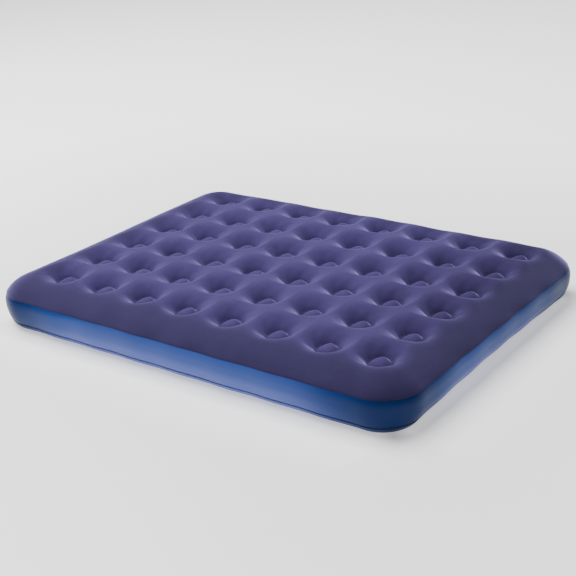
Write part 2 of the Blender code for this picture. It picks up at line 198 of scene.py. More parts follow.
def top_height(x, y):
    """Height of the flocked top: a quilt of wide bowls, with a dome inside the weld ring of each."""
    base = crown(inset_of(x, y)) + 0.0016 * waves(x, y, 3, 0.5) + swell(x, y)
    total = np.zeros_like(base)
    inner = np.full_like(base, np.nan)
    for cx, cy, i, j, ph, ra, rb in well_centres():
        dx, dy = x - cx, y - cy
        r = np.hypot(dx, dy)
        near = r < max(BOWL_R, BORDER_R) * 1.03
        if not near.any():
            continue
        r, t, bs = r[near], np.arctan2(dy, dx)[near], base[near]
        # towards the border a bowl climbs faster, because there is no neighbour to share the ridge with
        out = np.zeros_like(r)
        if i == 0: out = np.maximum(out, -np.cos(t))
        if i == COILS_X - 1: out = np.maximum(out, np.cos(t))
        if j == 0: out = np.maximum(out, -np.sin(t))
        if j == COILS_Y - 1: out = np.maximum(out, np.sin(t))
        far = BOWL_R * (1 + 0.02 * ra) - (BOWL_R - BORDER_R) * smooth01(out * 1.2)
        s = np.clip((r - WELD_R) / (far - WELD_R), 0, 1)
        share = (1 - (1 - s) ** BOWL_P) ** BOWL_Q
        fold = 0.0012 * (1 + 0.5 * ra) * np.sin(7 * t + ph + 9 * r / 0.157) * np.exp(-((r - 0.066) / 0.020) ** 2)
        fold += 0.0007 * np.sin(15 * t + 2.3 * ph) * np.exp(-((r - 0.052) / 0.010) ** 2)
        depth = (bs - WELL_Z) * (1 - share) - fold
        total[near] += np.maximum(depth, 0) ** RIDGE
        q = np.clip(r / WELD_R, 0, 1)
        # the dome's top lies off the middle, so one flank is long and the other short and steep: its level
        # lines are circles whose centres move from the middle of the ring towards the top
        k = DOME_OFF * (1 + 0.15 * rb)
        a = q * np.cos(t - DOME_LEAN - 0.3 * ra)
        u = (-2 * k * (k - a) + np.sqrt(np.maximum(4 * k * k * (k - a) ** 2 + 4 * (1 - k * k) * (q * q - 2 * k * a + k * k), 0))) / (2 * (1 - k * k))
        u = np.clip(u, 0, 1)
        dome = WELL_Z - 0.001 + DOME_H * (1 - u ** 1.7) ** 0.9
        dome -= 0.0022 * np.exp(-((q - 0.76) / 0.045) ** 2)          # the second line of the ring weld
        dome += 0.0006 * np.sin(5 * t + ph) * (1 - q)
        cur = inner[near]
        inner[near] = np.where(r <= WELD_R, dome, cur)
    z = base - total ** (1 / RIDGE)
    return np.where(np.isnan(inner), z, inner)


RIDGE = 2.8                      # how crisply neighbouring bowls meet in a ridge


SIM_FRAMES, SIM_EXTRA, SIM_CAP = 16, 1.030, 0.007
# levels of the painted shade on the border and of the painted sheen over the quilt, set into the flock's base colour
BORDER_SHADE_LEVEL, QUILT_SHEEN_LEVEL = 0.10, 0.50


def settle(X, Y, Z):
    """Lets the film of the quilt settle with Blender's cloth under the bed's own pressure. The weld rings and the
    edge are held, and the film is a little larger than the space it spans, so it creases where real film does.
    Returns how far each point of the grid moves, capped."""
    cx, cy, cz = X[::2, ::2], Y[::2, ::2], Z[::2, ::2]
    n, m = cx.shape
    start = np.stack([cx, cy, cz], -1).reshape(-1, 3)
    idx = np.arange(n * m).reshape(n, m)
    faces = np.stack([idx[:-1, :-1], idx[1:, :-1], idx[1:, 1:], idx[:-1, 1:]], -1).reshape(-1, 4).tolist()
    o = new_object("film_work", start.tolist(), faces)
    hold = np.zeros(n * m, bool)
    for wx, wy, *_ in well_centres():
        hold |= np.hypot(start[:, 0] - wx, start[:, 1] - wy) < WELD_R + 0.003
    edge = np.zeros((n, m), bool)
    edge[[0, -1], :] = True
    edge[:, [0, -1]] = True
    hold |= edge.ravel()
    group = o.vertex_groups.new(name="held")
    group.add(np.nonzero(hold)[0].tolist(), 1.0, "REPLACE")
    o.shape_key_add(name="Basis")
    rest = o.shape_key_add(name="cut")
    rest.data.foreach_set("co", (start * np.array([SIM_EXTRA, SIM_EXTRA, SIM_EXTRA])).astype(np.float32).ravel())
    mod = o.modifiers.new("film", "CLOTH")
    c = mod.settings
    c.quality = 6
    c.mass = 0.08
    c.tension_stiffness = c.compression_stiffness = 25
    c.shear_stiffness = 12
    c.bending_stiffness = 0.25
    c.tension_damping = c.compression_damping = 8
    c.use_pressure = True
    c.uniform_pressure_force = 2.0
    c.vertex_group_mass = "held"
    c.pin_stiffness = 1.0
    c.rest_shape_key = rest
    c.effector_weights.gravity = 0.0
    scene = bpy.context.scene
    scene.frame_start, scene.frame_end = 1, SIM_FRAMES
    mod.point_cache.frame_start, mod.point_cache.frame_end = 1, SIM_FRAMES
    for f in range(1, SIM_FRAMES + 1):
        scene.frame_set(f)
    done = o.evaluated_get(bpy.context.evaluated_depsgraph_get()).to_mesh()
    end = np.empty(n * m * 3, np.float32)
    done.vertices.foreach_get("co", end)
    move = end.reshape(-1, 3) - start
    scene.frame_set(1)
    bpy.data.objects.remove(o)
    far = np.linalg.norm(move, axis=1)
    print("cloth: moved by", round(float(far.mean()) * 1000, 2), "mm on average,", round(float(far.max()) * 1000, 2), "mm at most")
    move *= (SIM_CAP * np.tanh(far / SIM_CAP) / np.maximum(far, 1e-9))[:, None]
    move = move.reshape(n, m, 3)

    def finer(a):
        """Doubles the resolution along the first axis with a cubic through four points."""
        p = np.concatenate([a[:1], a, a[-1:]])
        mid = (-p[:-3] + 9 * p[1:-2] + 9 * p[2:-1] - p[3:]) / 16
        out = np.empty((2 * len(a) - 1,) + a.shape[1:])
        out[::2], out[1::2] = a, mid
        return out

    return finer(finer(move).transpose(1, 0, 2)).transpose(1, 0, 2)


def build_top(mat):
    n_x = int(round(COILS_X * PITCH_X / STEP / 2)) * 2
    n_y = int(round(COILS_Y * PITCH_Y / STEP / 2)) * 2
    gx = GRID_X + np.linspace(-COILS_X * PITCH_X / 2, COILS_X * PITCH_X / 2, n_x + 1)
    gy = GRID_Y + np.linspace(-COILS_Y * PITCH_Y / 2, COILS_Y * PITCH_Y / 2, n_y + 1)
    X, Y = np.meshgrid(gx, gy, indexing="ij")
    Z = top_height(X, Y)
    verts = [(np.stack([X, Y, Z], -1) + settle(X, Y, Z)).reshape(-1, 3)]
    count = X.size
    idx = np.arange(count).reshape(n_x + 1, n_y + 1)
    faces = np.stack([idx[:-1, :-1], idx[1:, :-1], idx[1:, 1:], idx[:-1, 1:]], -1).reshape(-1, 4).tolist()
    pts, nrm, grid = outline(n_x, n_y)
    start = np.array([(X[g], Y[g]) for g in grid])
    steps = 34
    skirt_in = float(side_offset(SKIRT_Z))
    wave = edge_wave(pts, nrm)
    edge = pts - nrm * (skirt_in - wave)[:, None]
    d0 = inset_of(start[:, 0], start[:, 1])
    f0 = np.arccos(np.clip(1 - d0 / SHOULDER, -1, 1))
    f1 = math.asin((SKIRT_Z - BULGE_Z) / (HEIGHT - BULGE_Z))
    previous = np.array([idx[g] for g in grid])
    for k in range(1, steps + 1):
        t = k / steps
        f = f0 + (f1 - f0) * t
        d = SHOULDER * (1 - np.cos(f))
        s = (d0 - d) / (d0 - skirt_in)
        u = smooth01((t - 0.25) / 0.4)
        P = (start + (edge - start) * s[:, None]) * (1 - u) + (pts - nrm * (d - wave * t)[:, None]) * u
        z_side = BULGE_Z + (HEIGHT - BULGE_Z) * np.sin(f)
        z_top = top_height(P[:, 0], P[:, 1])
        w = smooth01((t - 0.5) / 0.35)
        z = z_top * (1 - w) + z_side * w
        if k == steps:
            z = np.full(len(P), SKIRT_Z)
        verts.append(np.column_stack([P, z]))
        ring = np.arange(count, count + len(P))
        count += len(P)
        faces += np.stack([previous, ring, np.roll(ring, -1), np.roll(previous, -1)], -1).tolist()
        previous = ring
    # the cut edge of the skirt: its thickness, and the lap behind it that is welded to the side band
    for inward, z in ((0.0009, SKIRT_Z - 0.0002), (0.0012, SKIRT_Z + 0.004), (0.0013 + side_offset(SKIRT_Z + LAP) - skirt_in, SKIRT_Z + LAP)):
        verts.append(np.column_stack([pts - nrm * (skirt_in + float(inward) - wave)[:, None], np.full(len(pts), z)]))
        ring = np.arange(count, count + len(pts))
        count += len(pts)
        faces += np.stack([previous, ring, np.roll(ring, -1), np.roll(previous, -1)], -1).tolist()
        previous = ring
    verts = np.concatenate(verts)
    o = new_object("flocked_top", verts.tolist(), faces, mat)
    outward(o, 2)
    # painted sheen and shade: the flock's base colour is painted brighter over the quilt and darker on the border and
    # down the skirt
    far_x = np.abs(verts[:, 0] - GRID_X) - (COILS_X - 1) / 2 * PITCH_X
    far_y = np.abs(verts[:, 1] - GRID_Y) - (COILS_Y - 1) / 2 * PITCH_Y
    quilted = 1 - smooth01((np.maximum(far_x, far_y) - 0.045) / 0.085)
    painted_sheen_shade = BORDER_SHADE_LEVEL * (1 - quilted) + QUILT_SHEEN_LEVEL * quilted
    side_on = smooth01((verts[:, 2] - 0.150) / 0.035)
    a = o.data.attributes.new("painted_sheen_shade", "FLOAT", "POINT")
    a.data.foreach_set("value", (painted_sheen_shade * side_on + BORDER_SHADE_LEVEL * (1 - side_on)).astype(np.float32))
    # and painted shade: the base colour darkens towards the far end of the +X side, where the light falls off
    far_shade = smooth01((verts[:, 0] - 0.25) / 0.70) * (0.25 + 0.75 * smooth01((verts[:, 1] + 0.75) / 1.0))
    a = o.data.attributes.new("painted_falloff", "FLOAT", "POINT")
    a.data.foreach_set("value", (1 - 0.40 * far_shade).astype(np.float32))
    return o


def outward(o, axis):
    """Turns the faces so that the ones furthest along an axis face along it."""
    bm = bmesh.new()
    bm.from_mesh(o.data)
    bmesh.ops.recalc_face_normals(bm, faces=bm.faces)
    probe = max(bm.faces, key=lambda f: f.calc_center_median()[axis])
    if probe.normal[axis] < 0:
        bmesh.ops.reverse_faces(bm, faces=bm.faces)
    bm.to_mesh(o.data)
    bm.free()
    o.data.shade_smooth()


def build_band(name, profile, mat, n=520, thickness=0.0008):
    """A skin swept round the outline through (inset, z) profile points."""
    hx, hy = LENGTH / 2 - CORNER_R, WIDTH / 2 - CORNER_R
    arc = CORNER_R * math.pi / 2
    total = 4 * (hx + hy) + 4 * arc
    pts, nrm = [], []
    at_valve = hy + arc + 2 * hx + arc + hy - VALVE_Y
    stations = [k / n * total for k in range(n) if abs(k / n * total - at_valve) > 0.076]
    stations = sorted(stations + [at_valve + 0.0022 * k for k in range(-34, 35)])
    n = len(stations)
    for s in stations:
        legs = [("x", hy), ("c", arc), ("y", 2 * hx), ("c", arc), ("x", 2 * hy), ("c", arc), ("y", 2 * hx), ("c", arc), ("x", hy)]
        leg = 0
        while leg < len(legs) - 1 and s > legs[leg][1]:
            s -= legs[leg][1]
            leg += 1
        if leg == 0:
            p, q = (LENGTH / 2, s), (1, 0)
        elif leg in (1, 3, 5, 7):
            a = math.pi / 2 * ((leg - 1) // 2) + s / CORNER_R
            c = [(hx, hy), (-hx, hy), (-hx, -hy), (hx, -hy)][(leg - 1) // 2]
            p, q = (c[0] + CORNER_R * math.cos(a), c[1] + CORNER_R * math.sin(a)), (math.cos(a), math.sin(a))
        elif leg == 2:
            p, q = (hx - s, WIDTH / 2), (0, 1)
        elif leg == 4:
            p, q = (-LENGTH / 2, hy - s), (-1, 0)
        elif leg == 6:
            p, q = (-hx + s, -WIDTH / 2), (0, -1)
        else:
            p, q = (LENGTH / 2, -hy + s), (1, 0)
        pts.append(p)
        nrm.append(q)
    pts, nrm = np.array(pts), np.array(nrm)
    wave = edge_wave(pts, nrm)
    tuck = 0.022 * np.abs(nrm[:, 0]) ** 3 * (1 - np.clip(np.abs(pts[:, 1]) / 0.72, 0, 1) ** 2)
    flat = np.exp(-(((pts[:, 1] - VALVE_Y) / 0.06) ** 2)) * (pts[:, 0] < -LENGTH / 2 + 0.05)
    verts, faces = [], []
    for d, z in profile:
        w = wave * (1 - flat) - tuck * smooth01((0.085 - z) / 0.080)
        P = pts - nrm * (d - w)[:, None]
        dy, dz = pts[:, 1] - VALVE_Y, z - VALVE_Z
        rho = np.minimum(np.hypot(dy, dz) - 0.024, np.hypot(dy - np.clip(dy, 0, 0.028), dz) - 0.0065)
        at_end = pts[:, 0] < -LENGTH / 2 + 0.05
        land = (1 - smooth01((rho - 0.0015) / 0.022)) * at_end
        pucker = 0.0005 * np.sin(20 * np.arctan2(dz, dy)) * np.exp(-((rho - 0.006) / 0.005) ** 2) * at_end
        P[:, 0] = P[:, 0] * (1 - land) + (VALVE_X + 0.0003) * land + pucker
        verts += np.column_stack([P, np.full(n, z)]).tolist()
    m = len(profile)
    for r in range(m - 1):
        for a in range(n):
            b = (a + 1) % n
            if pts[a, 0] < -LENGTH / 2 + 0.05 and math.hypot((pts[a, 1] + pts[b, 1]) / 2 - VALVE_Y, (profile[r][1] + profile[r + 1][1]) / 2 - VALVE_Z) < 0.0214:
                continue                     # the valve's hole
            faces.append((r * n + a, r * n + b, (r + 1) * n + b, (r + 1) * n + a))
    o = new_object(name, verts, faces, mat)
    outward(o, 0)
    # a painted light mask: full along the straight sides and none round the corners; the vinyl paints its reflection by
    # it, and paints the corners darker where it is low
    painted_side_light = o.data.attributes.new("painted_side_light", "FLOAT", "POINT")
    straight = smooth01((np.maximum(LENGTH / 2 - np.abs(pts[:, 0]), WIDTH / 2 - np.abs(pts[:, 1])) - 0.09) / 0.44)
    # towards the far corner of the +X end the mask falls, so that end gets painted shade and less painted reflection
    straight = straight * (1 - 0.42 * smooth01((pts[:, 0] - 0.88) / 0.08) * smooth01((pts[:, 1] + 0.50) / 0.8))
    painted_side_light.data.foreach_set("value", np.tile(straight, m).astype(np.float32))
    s = o.modifiers.new("film", "SOLIDIFY")
    s.thickness = thickness
    s.offset = -1
    return o


# ---------------------------------------------------------------- materials
def node_material(name):
    m = bpy.data.materials.new(name)
    m.use_nodes = True
    nt = m.node_tree
    return m, nt, nt.nodes["Principled BSDF"]


def add(nt, kind, **values):
    n = nt.nodes.new(kind)
    for k, v in values.items():
        if k in n.inputs:
            n.inputs[k].default_value = v
        else:
            setattr(n, k, v)
    return n


def ramp(nt, source, stops, interpolation="LINEAR"):
    n = nt.nodes.new("ShaderNodeValToRGB")
    e = n.color_ramp.elements
    while len(e) < len(stops):
        e.new(0.5)
    for el, (p, c) in zip(e, stops):
        el.position = p
        el.color = (*c, 1.0)
    n.color_ramp.interpolation = interpolation
    nt.links.new(source, n.inputs[0])
    return n


def flock_material():
    m, nt, b = node_material("flock_navy_violet")
    coord = add(nt, "ShaderNodeTexCoord")
    fine = add(nt, "ShaderNodeTexNoise", Scale=1400.0, Detail=3.0, Roughness=0.6)
    patch = add(nt, "ShaderNodeTexNoise", Scale=9.0, Detail=4.0, Roughness=0.55)
    nt.links.new(coord.outputs["Object"], fine.inputs["Vector"])
    nt.links.new(coord.outputs["Object"], patch.inputs["Vector"])
    base = ramp(nt, patch.outputs["Fac"], [(0.30, (0.034, 0.025, 0.0835)), (0.70, (0.043, 0.0315, 0.102))])
    mix = add(nt, "ShaderNodeMixRGB", blend_type="MULTIPLY")
    mix.inputs["Fac"].default_value = 0.35
    speck = ramp(nt, fine.outputs["Fac"], [(0.30, (0.55, 0.55, 0.60)), (0.70, (1.0, 1.0, 1.0))])
    nt.links.new(base.outputs["Color"], mix.inputs["Color1"])
    nt.links.new(speck.outputs["Color"], mix.inputs["Color2"])
    # painted sheen and shade: the base colour is made brighter over the quilt and darker on the border
    painted_sheen_shade = add(nt, "ShaderNodeAttribute")
    painted_sheen_shade.attribute_name = "painted_sheen_shade"
    shade = ramp(nt, painted_sheen_shade.outputs["Fac"], [(0.0, (0.56, 0.56, 0.58)), (0.34, (0.82, 0.81, 0.86)), (0.74, (1.66, 1.60, 1.70)), (1.0, (2.20, 2.10, 2.26))])
    mix2 = add(nt, "ShaderNodeMixRGB", blend_type="MULTIPLY")
    mix2.inputs["Fac"].default_value = 1.0
    nt.links.new(mix.outputs["Color"], mix2.inputs["Color1"])
    nt.links.new(shade.outputs["Color"], mix2.inputs["Color2"])
    # painted shade: darker towards the far end of the +X side
    painted_falloff = add(nt, "ShaderNodeAttribute")
    painted_falloff.attribute_name = "painted_falloff"
    mix3 = add(nt, "ShaderNodeMixRGB", blend_type="MULTIPLY")
    mix3.inputs["Fac"].default_value = 1.0
    nt.links.new(mix2.outputs["Color"], mix3.inputs["Color1"])
    nt.links.new(painted_falloff.outputs["Fac"], mix3.inputs["Color2"])
    nt.links.new(mix3.outputs["Color"], b.inputs["Base Color"])
    bump = add(nt, "ShaderNodeBump", Strength=0.25, Distance=0.0006)
    nt.links.new(fine.outputs["Fac"], bump.inputs["Height"])
    nt.links.new(bump.outputs["Normal"], b.inputs["Normal"])
    b.inputs["Roughness"].default_value = 0.95
    b.inputs["Specular IOR Level"].default_value = 0.15
    b.inputs["Sheen Weight"].default_value = 1.0
    b.inputs["Sheen Roughness"].default_value = 0.34
    b.inputs["Sheen Tint"].default_value = (0.50, 0.43, 1.00, 1.0)
    return m


def vinyl_material(name, low, high, rough=0.34, painted_floor_light=None, specular=0.4):
    m, nt, b = node_material(name)
    coord = add(nt, "ShaderNodeTexCoord")
    patch = add(nt, "ShaderNodeTexNoise", Scale=5.0, Detail=3.0, Roughness=0.5)
    grain = add(nt, "ShaderNodeTexNoise", Scale=900.0, Detail=2.0, Roughness=0.5)
    for n in (patch, grain):
        nt.links.new(coord.outputs["Object"], n.inputs["Vector"])
    base = ramp(nt, patch.outputs["Fac"], [(0.3, low), (0.7, high)])
    colour = base.outputs["Color"]
    if painted_floor_light:
        # painted reflection: the base colour is mixed towards a lighter blue low on the wall, where the floor's light
        # would reflect
        sep = add(nt, "ShaderNodeSeparateXYZ")
        nt.links.new(coord.outputs["Object"], sep.inputs[0])
        high_up = add(nt, "ShaderNodeMapRange")
        high_up.inputs["From Min"].default_value = 0.030
        high_up.inputs["From Max"].default_value = 0.165
        # towards the -X end the painted reflection stays lower on the wall, so the dark blue reaches further down
        reach = add(nt, "ShaderNodeMapRange")
        reach.inputs["From Min"].default_value = -1.0
        reach.inputs["From Max"].default_value = -0.30
        reach.inputs["To Min"].default_value = 1.5
        reach.inputs["To Max"].default_value = 1.0
        nt.links.new(sep.outputs["X"], reach.inputs["Value"])
        level = add(nt, "ShaderNodeMath", operation="MULTIPLY")
        nt.links.new(sep.outputs["Z"], level.inputs[0])
        nt.links.new(reach.outputs["Result"], level.inputs[1])
        nt.links.new(level.outputs[0], high_up.inputs["Value"])
        reflection_amount = ramp(nt, high_up.outputs["Result"], [(0.0, (0.87,) * 3), (0.21, (0.76,) * 3), (0.53, (0.36,) * 3), (0.70, (0.27,) * 3), (0.86, (0.23,) * 3), (1.0, (0.05,) * 3)], "EASE")
        painted_side_light = add(nt, "ShaderNodeAttribute")
        painted_side_light.attribute_name = "painted_side_light"
        share = add(nt, "ShaderNodeMath", operation="MULTIPLY")
        nt.links.new(reflection_amount.outputs["Color"], share.inputs[0])
        nt.links.new(painted_side_light.outputs["Fac"], share.inputs[1])
        mix = add(nt, "ShaderNodeMixRGB", blend_type="MIX")
        mix.inputs["Color2"].default_value = (*painted_floor_light, 1.0)
        nt.links.new(share.outputs[0], mix.inputs["Fac"])
        nt.links.new(colour, mix.inputs["Color1"])
        # painted shade: the base colour is darkened round the corners, down to 0.38 where the mask is zero
        corner_shade = ramp(nt, painted_side_light.outputs["Fac"], [(0.0, (0.38, 0.38, 0.38)), (1.0, (1.0, 1.0, 1.0))])
        shaded_corners = add(nt, "ShaderNodeMixRGB", blend_type="MULTIPLY")
        shaded_corners.inputs["Fac"].default_value = 1.0
        nt.links.new(mix.outputs["Color"], shaded_corners.inputs["Color1"])
        nt.links.new(corner_shade.outputs["Color"], shaded_corners.inputs["Color2"])
        colour = shaded_corners.outputs["Color"]
    nt.links.new(colour, b.inputs["Base Color"])
    rr = add(nt, "ShaderNodeMapRange")
    rr.inputs["To Min"].default_value = rough - 0.05
    rr.inputs["To Max"].default_value = rough + 0.06
    nt.links.new(grain.outputs["Fac"], rr.inputs["Value"])
    nt.links.new(rr.outputs["Result"], b.inputs["Roughness"])
    bump = add(nt, "ShaderNodeBump", Strength=0.10, Distance=0.0003)
    nt.links.new(grain.outputs["Fac"], bump.inputs["Height"])
    nt.links.new(bump.outputs["Normal"], b.inputs["Normal"])
    b.inputs["Specular IOR Level"].default_value = specular
    return m


FLOCK = flock_material()
# the side band's last colour is its painted floor reflection, a lighter blue mixed in low on the wall
VINYL = vinyl_material("vinyl_blue", (0.004, 0.038, 0.195), (0.006, 0.045, 0.225), 0.36, painted_floor_light=(0.115, 0.147, 0.435), specular=0.10)
SEAM = vinyl_material("vinyl_seam", (0.006, 0.026, 0.105), (0.008, 0.032, 0.125), 0.42)
BEAM = vinyl_material("vinyl_beam", (0.22, 0.27, 0.42), (0.26, 0.31, 0.47), 0.45)
VALVE_SOFT = vinyl_material("valve_soft", (0.010, 0.036, 0.150), (0.013, 0.044, 0.175), 0.44)
VALVE_HARD = vinyl_material("valve_hard", (0.008, 0.016, 0.060), (0.010, 0.020, 0.072), 0.30)
SEAL = vinyl_material("seal", (0.50, 0.52, 0.54), (0.58, 0.60, 0.62), 0.50)
PIN = vinyl_material("pin", (0.70, 0.71, 0.73), (0.76, 0.77, 0.79), 0.40)


# ---------------------------------------------------------------- build the skins
top = build_top(FLOCK)
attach(top, ROOT)
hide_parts("top_sheet")

side_profile = [(float(side_offset(z)) + 0.0014, z) for z in np.linspace(SKIRT_Z + 0.010, SKIRT_Z + 0.0005, 3)]
side_profile += [(float(side_offset(z)) + 0.0010, z) for z in np.linspace(SKIRT_Z - 0.001, SEAM_Z + 0.001, 46)]
side_profile += [(float(side_offset(z)) + 0.0016, z) for z in np.linspace(SEAM_Z - 0.001, SEAM_Z - 0.010, 3)]
side = build_band("side_band", side_profile, VINYL)
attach(side, ROOT)
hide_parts("side_wall")

# bottom sheet: flat underside with a turned-up margin
def build_bottom(mat):
    profile = [(float(side_offset(z)), z) for z in (SEAM_Z, 0.027, 0.022, 0.017, 0.012, 0.008, 0.005, 0.003, 0.0015, 0.0005, 0.0)]
    o = build_band("bottom_skin", profile, mat)
    bm = bmesh.new()
    bm.from_mesh(o.data)
    low = sorted([e for e in bm.edges if e.is_boundary and all(abs(v.co.z) < 1e-5 for v in e.verts)], key=lambda e: e.index)
    bmesh.ops.contextual_create(bm, geom=low)
    bmesh.ops.recalc_face_normals(bm, faces=bm.faces)
    bm.to_mesh(o.data)
    bm.free()
    return o


bottom = build_bottom(VINYL)
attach(bottom, ROOT)
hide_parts("bottom_sheet")

# the double line of the lower weld, printed into the film by the welding bar
for k, (z0, z1) in enumerate(((0.0345, 0.0331), (0.0285, 0.0273))):
    w = build_band(f"lower_weld_{k + 1}", [(float(side_offset(z)) - h, z) for z, h in ((z0, -0.0004), (z0 - 0.0003, 0.0004), (z1 + 0.0003, 0.0004), (z1, -0.0004))], SEAM)
    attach(w, ROOT)

# ---------------------------------------------------------------- the valve, in its own frame: millimetres, +Z out of the wall
MM = 0.001
HINGE_Y, HINGE_Z = -16.25, 15.3
LEAD = 6.0                          # rise of the insert's thread in one turn


def fillet(profile, r=0.3, closed=True):
    """Rounds the corners of a turned profile with short three-point curves."""
    out, n = [], len(profile)
    for i, (x, z) in enumerate(profile):
        if x < 1e-6 or (not closed and i in (0, n - 1)):
            out.append((x, z))
            continue
        p, q = profile[i - 1], profile[(i + 1) % n]
        a, b = (p[0] - x, p[1] - z), (q[0] - x, q[1] - z)
        la, lb = math.hypot(*a), math.hypot(*b)
        if la < 1e-6 or lb < 1e-6:
            out.append((x, z))
            continue
        ta, tb = min(r, la * 0.42) / la, min(r, lb * 0.42) / lb
        s, e = (x + a[0] * ta, z + a[1] * ta), (x + b[0] * tb, z + b[1] * tb)
        for t in (0.0, 0.33, 0.67, 1.0):
            out.append(((1 - t) ** 2 * s[0] + 2 * t * (1 - t) * x + t * t * e[0], (1 - t) ** 2 * s[1] + 2 * t * (1 - t) * z + t * t * e[1]))
    return out


def lathe(name, profile, mat, n=120, radii=None):
    verts, faces, rings = [], [], []
    for r, z in profile:
        if r < 1e-6:
            rings.append([len(verts)])
            verts.append((0.0, 0.0, z * MM))
            continue
        rings.append(list(range(len(verts), len(verts) + n)))
        for k in range(n):
            a = 2 * math.pi * k / n
            rr = radii(r, z, a) if radii else r
            verts.append((rr * math.cos(a) * MM, rr * math.sin(a) * MM, z * MM))
    for A, B in zip(rings, rings[1:] + rings[:1]):
        for k in range(n):
            j = (k + 1) % n
            if len(A) == 1 and len(B) == 1:
                break
            if len(A) == 1:
                faces.append((A[0], B[k], B[j]))
            elif len(B) == 1:
                faces.append((A[k], B[0], A[j]))
            else:
                faces.append((A[k], B[k], B[j], A[j]))
    return solid(new_object(name, verts, faces, mat))


def solid(o):
    bm = bmesh.new()
    bm.from_mesh(o.data)
    bmesh.ops.recalc_face_normals(bm, faces=bm.faces)
    if bm.calc_volume(signed=True) < 0:
        bmesh.ops.reverse_faces(bm, faces=bm.faces)
    bm.to_mesh(o.data)
    bm.free()
    return o


def slab(name, outline_pts, axis, lo, hi, mat, bevel=0.25):
    """An outline pushed along an axis from lo to hi, with its edges rounded."""
    place = {"Z": lambda u, v, w: (u, v, w), "X": lambda u, v, w: (w, u, v), "Y": lambda u, v, w: (u, w, v)}[axis]
    n = len(outline_pts)
    verts = [tuple(c * MM for c in place(u, v, w)) for w in (lo, hi) for u, v in outline_pts]
    faces = [tuple(range(n)), tuple(range(n, 2 * n))] + [(k, (k + 1) % n, n + (k + 1) % n, n + k) for k in range(n)]
    o = solid(new_object(name, verts, faces, mat))
    if bevel:
        b = o.modifiers.new("edge", "BEVEL")
        b.width, b.segments, b.limit_method, b.angle_limit = bevel * MM, 3, "ANGLE", math.radians(28)
        settle_modifiers(o)
    return o


def settle_modifiers(o):
    bpy.context.view_layer.update()
    me = bpy.data.meshes.new_from_object(o.evaluated_get(bpy.context.evaluated_depsgraph_get()))
    o.modifiers.clear()
    o.data = me


def merged(base, others, operation="UNION"):
    for k, t in enumerate(others):
        m = base.modifiers.new(f"m{k}", "BOOLEAN")
        m.operation, m.solver, m.object = operation, "EXACT", t
    settle_modifiers(base)
    for t in others:
        bpy.data.objects.remove(t)
    base.data.shade_smooth()
    base.data.set_sharp_from_angle(angle=math.radians(42))
    return base


def arc(cx, cy, r, a0, a1, n=14):
    return [(cx + r * math.cos(math.radians(a0 + (a1 - a0) * k / n)), cy + r * math.sin(math.radians(a0 + (a1 - a0) * k / n))) for k in range(n + 1)]


def thread(name, root, crest, width, tip, z0, turns, mat, start=0.0, per_turn=48):
    """A screw ridge from z0 up, running out to nothing at both ends."""
    verts, faces = [], []
    n = int(turns * per_turn)
    for k in range(n + 1):
        a = start + 2 * math.pi * k / per_turn
        z = z0 + LEAD * k / per_turn
        run = min(1.0, k / 5, (n - k) / 5)
        c = root + (crest - root) * max(run, 0.02)
        for r, w in ((root, -width / 2), (c, -tip / 2), (c, tip / 2), (root, width / 2)):
            verts.append((r * math.cos(a) * MM, r * math.sin(a) * MM, (z + w) * MM))
    for k in range(n):
        for j in range(4):
            i = (j + 1) % 4
            faces.append((4 * k + j, 4 * k + i, 4 * k + 4 + i, 4 * k + 4 + j))
    faces += [(0, 1, 2, 3), tuple(4 * n + j for j in (3, 2, 1, 0))]
    return solid(new_object(name, verts, faces, mat))


def on_wall(o):
    """Local X up, local Y along the end wall, local Z out of it."""
    o.data.transform(Matrix(((0, 0, -1, VALVE_X), (0, 1, 0, VALVE_Y), (1, 0, 0, VALVE_Z), (0, 0, 0, 1))))
    bm = bmesh.new()
    bm.from_mesh(o.data)
    if bm.calc_volume(signed=True) < 0:
        bmesh.ops.reverse_faces(bm, faces=bm.faces)
        bm.to_mesh(o.data)
    bm.free()
    return o


def build_valve_base():
    ribs = []
    for r in (23.0, 22.1, 21.2, 20.3):     # the welding ring's grooves, pressed into the flange
        ribs += [(r + 0.30, 1.18), (r + 0.10, 0.86), (r - 0.10, 0.86), (r - 0.30, 1.18)]
    profile = [(15.0, -13.0), (19.5, -13.0), (19.5, 0.0), (24.0, 0.0), (24.0, 0.8), (23.6, 1.15)] + ribs + [(19.5, 1.2), (19.5, 2.0), (17.5, 2.0), (17.5, -11.5), (15.0, -11.5)]
    base = lathe("valve_collar", fillet(profile, 0.22), VALVE_SOFT, 144)
    tab = slab("tab", [(6.5, 20.0), (6.5, 27.0)] + arc(0, 27.0, 6.5, 0, 180)[1:-1] + [(-6.5, 27.0), (-6.5, 20.0)], "Z", 0.05, 1.15, VALVE_SOFT)
    stud = lathe("stud", fillet([(0, 0.6), (1.6, 0.6), (1.6, 3.5), (2.7, 3.6), (2.7, 4.1), (1.9, 4.7), (0, 4.7)], 0.25), VALVE_SOFT, 48)
    stud.data.transform(Matrix.Translation((0, 28 * MM, 0)))
    ridge = thread("female", 17.7, 16.35, 2.0, 1.2, -8.0, 1.0, VALVE_SOFT)
    return on_wall(merged(base, [tab, stud, ridge]))


